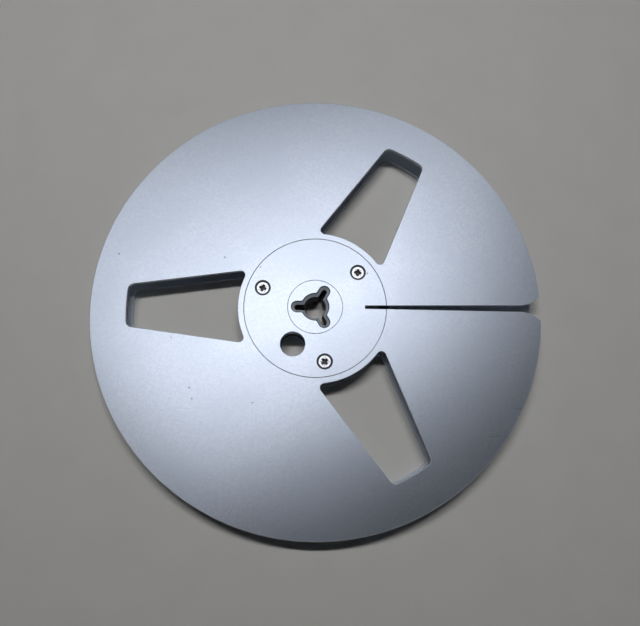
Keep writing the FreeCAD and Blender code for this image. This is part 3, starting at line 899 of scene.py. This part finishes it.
def satin_aluminium(name, dents=()):
    """Blasted and clear anodised: a bluish satin, with smudges, faint scratches, lighter edges for
    wear and a painted highlight, painted shade where the matt and painted shade level is set and,
    on a piece that has them, small dents."""
    material, tree, shader, place = finish(name)
    grain = shared(tree, GRAIN, {"Place": place, "Grain size": 0.18 * MM})["Height"]
    traces = shared(tree, HANDLING, {"Place": place})
    edge_wear_and_highlight = shared(tree, EDGE_WEAR_AND_HIGHLIGHT, {"Place": place})["Wear"]
    depth = 0.0
    for centre, size in dents:
        depth = shared(tree, DENT, {"Place": place, "Centre": (*centre, REEL_TOP), "Size": size,
                                    "Others": depth})["Depth"]
    mottling = noise(tree, place, 1 / (0.8 * MM), 2.0, 0.7)
    mottling = stepped(tree, mottling, 0.3, 0.7)
    colour = blended(tree, mottling, (0.735, 0.805, 0.925, 1), (0.84, 0.905, 1.0, 1))
    colour = blended(tree, math_node(tree, "MULTIPLY", traces["Smudge"], 0.6), colour,
                     (0.75, 0.825, 0.94, 1))
    # Lighter on rounded edges: edge wear, and a painted highlight along them.
    colour = blended(tree, edge_wear_and_highlight, colour, (0.88, 0.92, 0.98, 1))
    # Darker towards the shade colour where the level is set: painted shade.
    colour, matt_and_painted_shade_level = matt_and_painted_shade(tree, shader, colour, (0.035, 0.04, 0.05, 1))
    if dents:
        colour = blended(tree, math_node(tree, "MULTIPLY", depth, 0.85), colour,
                         (0.22, 0.24, 0.27, 1))
    tree.links.new(colour, shader.inputs["Base Color"])
    roughness = math_node(tree, "MULTIPLY_ADD", grain, 0.03, 0.265)
    roughness = math_node(tree, "MULTIPLY_ADD", traces["Smudge"], 0.015, roughness)
    roughness = math_node(tree, "MULTIPLY_ADD", traces["Scratch"], -0.06, roughness)
    roughness = math_node(tree, "MULTIPLY_ADD", edge_wear_and_highlight, -0.08, roughness)
    roughness = math_node(tree, "MULTIPLY_ADD", matt_and_painted_shade_level, 0.3, roughness)
    tree.links.new(roughness, shader.inputs["Roughness"])
    height = math_node(tree, "MULTIPLY_ADD", traces["Scratch"], -0.5, grain)
    if dents:
        height = math_node(tree, "MULTIPLY_ADD", depth, -6.0, height)
    rough_bump(tree, shader, height, 0.004 * MM)
    return material


def black_anodised():
    """Dyed and anodised: near black with a faint brown cast, greyer where the tape rubs it."""
    material, tree, shader, place = finish("black_anodised", Metallic=0.0, IOR=1.6)
    grain = shared(tree, GRAIN, {"Place": place, "Grain size": 0.12 * MM})["Height"]
    traces = shared(tree, HANDLING, {"Place": place})
    colour = blended(tree, traces["Smudge"], (0.010, 0.010, 0.011, 1), (0.022, 0.020, 0.019, 1))
    tree.links.new(colour, shader.inputs["Base Color"])
    roughness = math_node(tree, "MULTIPLY_ADD", traces["Smudge"], 0.1, 0.34)
    tree.links.new(roughness, shader.inputs["Roughness"])
    rough_bump(tree, shader, grain, 0.004 * MM)
    return material


def bright_steel():
    """Zinc plated: bright, with the plating's slight cloudiness, a fine grain, and painted shade
    where the matt and painted shade level is set."""
    material, tree, shader, place = finish("bright_steel")
    cloud = noise(tree, place, 1 / (0.9 * MM), 3.0, 0.6)
    grain = shared(tree, GRAIN, {"Place": place, "Grain size": 0.08 * MM})["Height"]
    colour = blended(tree, cloud, (0.86, 0.88, 0.90, 1), (0.96, 0.96, 0.97, 1))
    # Darker where the level is set: painted shade.
    colour, matt_and_painted_shade_level = matt_and_painted_shade(tree, shader, colour, (0.10, 0.11, 0.12, 1))
    tree.links.new(colour, shader.inputs["Base Color"])
    roughness = math_node(tree, "MULTIPLY_ADD", cloud, 0.14, 0.20)
    roughness = math_node(tree, "MULTIPLY_ADD", matt_and_painted_shade_level, 0.25, roughness)
    tree.links.new(roughness, shader.inputs["Roughness"])
    rough_bump(tree, shader, grain, 0.0015 * MM)
    return material


def plain_steel():
    """Ground bar: grey, with rings of grinding marks across the axis."""
    material, tree, shader, place = finish("plain_steel", Metallic=1.0)
    rings = put(tree, "ShaderNodeMapping", {"Vector": place, "Scale": (300.0, 300.0, 12000.0)})
    lines = noise(tree, rings.outputs["Vector"], 1.0, 2.0)
    colour = blended(tree, lines, (0.50, 0.50, 0.51, 1), (0.62, 0.62, 0.62, 1))
    tree.links.new(colour, shader.inputs["Base Color"])
    roughness = math_node(tree, "MULTIPLY_ADD", lines, 0.15, 0.22)
    tree.links.new(roughness, shader.inputs["Roughness"])
    rough_bump(tree, shader, lines, 0.002 * MM)
    return material


# ---- The reel ---------------------------------------------------------------------------------

FLANGE_DENTS = (
    (polar(81.7 * MM, 165), 0.55 * MM),
    (polar(41.6 * MM, 151), 0.50 * MM),
    (polar(58.2 * MM, 214), 0.45 * MM),
    (polar(59.8 * MM, 218), 0.40 * MM),
    (polar(45.0 * MM, 238), 0.45 * MM),
    (polar(57.7 * MM, 193), 0.35 * MM),
)
PLATE_DENTS = (
    (polar(27.2 * MM, 143.5), 0.38 * MM),
    (polar(25.0 * MM, 33.8), 0.34 * MM),
)


def reel():
    """Every piece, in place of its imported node."""
    dented = satin_aluminium("satin_aluminium_flange", FLANGE_DENTS)
    dented_plate = satin_aluminium("satin_aluminium_plate", PLATE_DENTS)
    satin = satin_aluminium("satin_aluminium")
    bright = bright_steel()
    steel = plain_steel()
    hub_core().piece("drum", black_anodised(), "black_anodised", "hub_core")
    spindle_bush().piece("bush", satin, "satin_aluminium", "spindle_bush")
    for side, over in (("front", False), ("rear", True)):
        flange().piece(side + "_flange_plate", satin if over else dented, "satin_aluminium",
                       side + "_flange", over=over)
        hub_plate().piece(side + "_hub_disc", satin if over else dented_plate,
                          "satin_aluminium", side + "_hub_plate", over=over)
        locating_pin().piece(side + "_pin", steel, "plain_steel", side + "_locating_pin",
                             over=over)
        for index in range(3):
            name = "%s_screw_%d" % (side, index + 1)
            screw(index).piece(name + "_m3", bright, "bright_steel", name, over=over)


# ---- Floor, light and camera ------------------------------------------------------------------


def pale_floor():
    """Plain floor under the reel, with the faintest mottling."""
    mesh = bpy.data.meshes.new("floor")
    half = 2.0
    mesh.from_pydata([(-half, -half, 0), (half, -half, 0), (half, half, 0), (-half, half, 0)],
                     [], [(0, 1, 2, 3)])
    material, tree, shader, place = finish("pale_floor", Roughness=0.75)
    mottling = noise(tree, place, 60.0, 3.0)
    tree.links.new(blended(tree, mottling, (0.70, 0.69, 0.67, 1), (0.76, 0.75, 0.73, 1)),
                   shader.inputs["Base Color"])
    mesh.materials.append(material)
    floor = bpy.data.objects.new("floor", mesh)
    bpy.context.scene.collection.objects.link(floor)


def panel(name, place, turn, width, depth, radiance, colour=(1, 1, 1)):
    """Rectangular light that faces the reel, its long side at an angle from X. Its power is the
    radiance times pi times its area."""
    data = bpy.data.lights.new(name, "AREA")
    data.shape = "RECTANGLE"
    data.size = width
    data.size_y = depth
    data.energy = radiance * math.pi * width * depth
    data.color = colour
    light = bpy.data.objects.new(name, data)
    light.location = place
    back = Vector(place).normalized()
    across = back.cross(Vector((*polar(1.0, turn), 0))).normalized()
    along = across.cross(back)
    light.rotation_euler = Matrix((along, across, back)).transposed().to_euler()
    bpy.context.scene.collection.objects.link(light)
    return light


def studio():
    """Two wide soft panels overhead and a ring of four low ones, which only reflections show, a
    strip that lights only what is matt and draws the shadows, and a grey backdrop that gives no
    light."""
    wide = panel("wide_panel", (-0.124, 0.606, 1.5), 8.4, 1.6, 0.753, 0.705, (0.98, 1.0, 1.055))
    near = panel("near_panel", (-0.097, 0.271, 1.5), 28.5, 0.952, 0.56, 1.07, (0.985, 1.0, 1.05))
    key = panel("key", (-0.03, 0.19, 0.62), 0.0, 0.37, 0.03, 48.0)
    reflected = [wide, near]
    for angle, radiance in ((45, 0.5), (135, 0.6), (225, 0.35), (315, 0.45)):
        place = (*polar(1.6, angle), 0.55)
        reflected.append(panel("low_panel_%d" % angle, place, angle + 90, 2.2, 0.9, radiance))
    for light in reflected:
        light.visible_diffuse = False
        light.visible_camera = False
    key.visible_glossy = False
    key.visible_camera = False
    world = bpy.data.worlds.new("backdrop")
    bpy.context.scene.world = world
    world.use_nodes = True
    background = world.node_tree.nodes["Background"]
    background.inputs["Color"].default_value = (1.0, 0.985, 0.955, 1)
    background.inputs["Strength"].default_value = 0.12
    world.cycles_visibility.diffuse = False
    world.cycles_visibility.glossy = False
    bpy.context.scene.view_settings.view_transform = "Standard"


def camera():
    """Camera above the reel, tilted a little, with its lens off the middle of the frame."""
    data = bpy.data.cameras.new("camera")
    data.sensor_width = 36.0
    data.lens = 31.27
    data.shift_x = 0.0270
    data.shift_y = 0.0574
    view = bpy.data.objects.new("camera", data)
    view.location = (-0.00436, -0.05605, 0.2238)
    view.rotation_euler = (math.radians(10.3), 0, math.radians(0.55))
    bpy.context.scene.collection.objects.link(view)
    bpy.context.scene.camera = view


reel()
pale_floor()
studio()
camera()
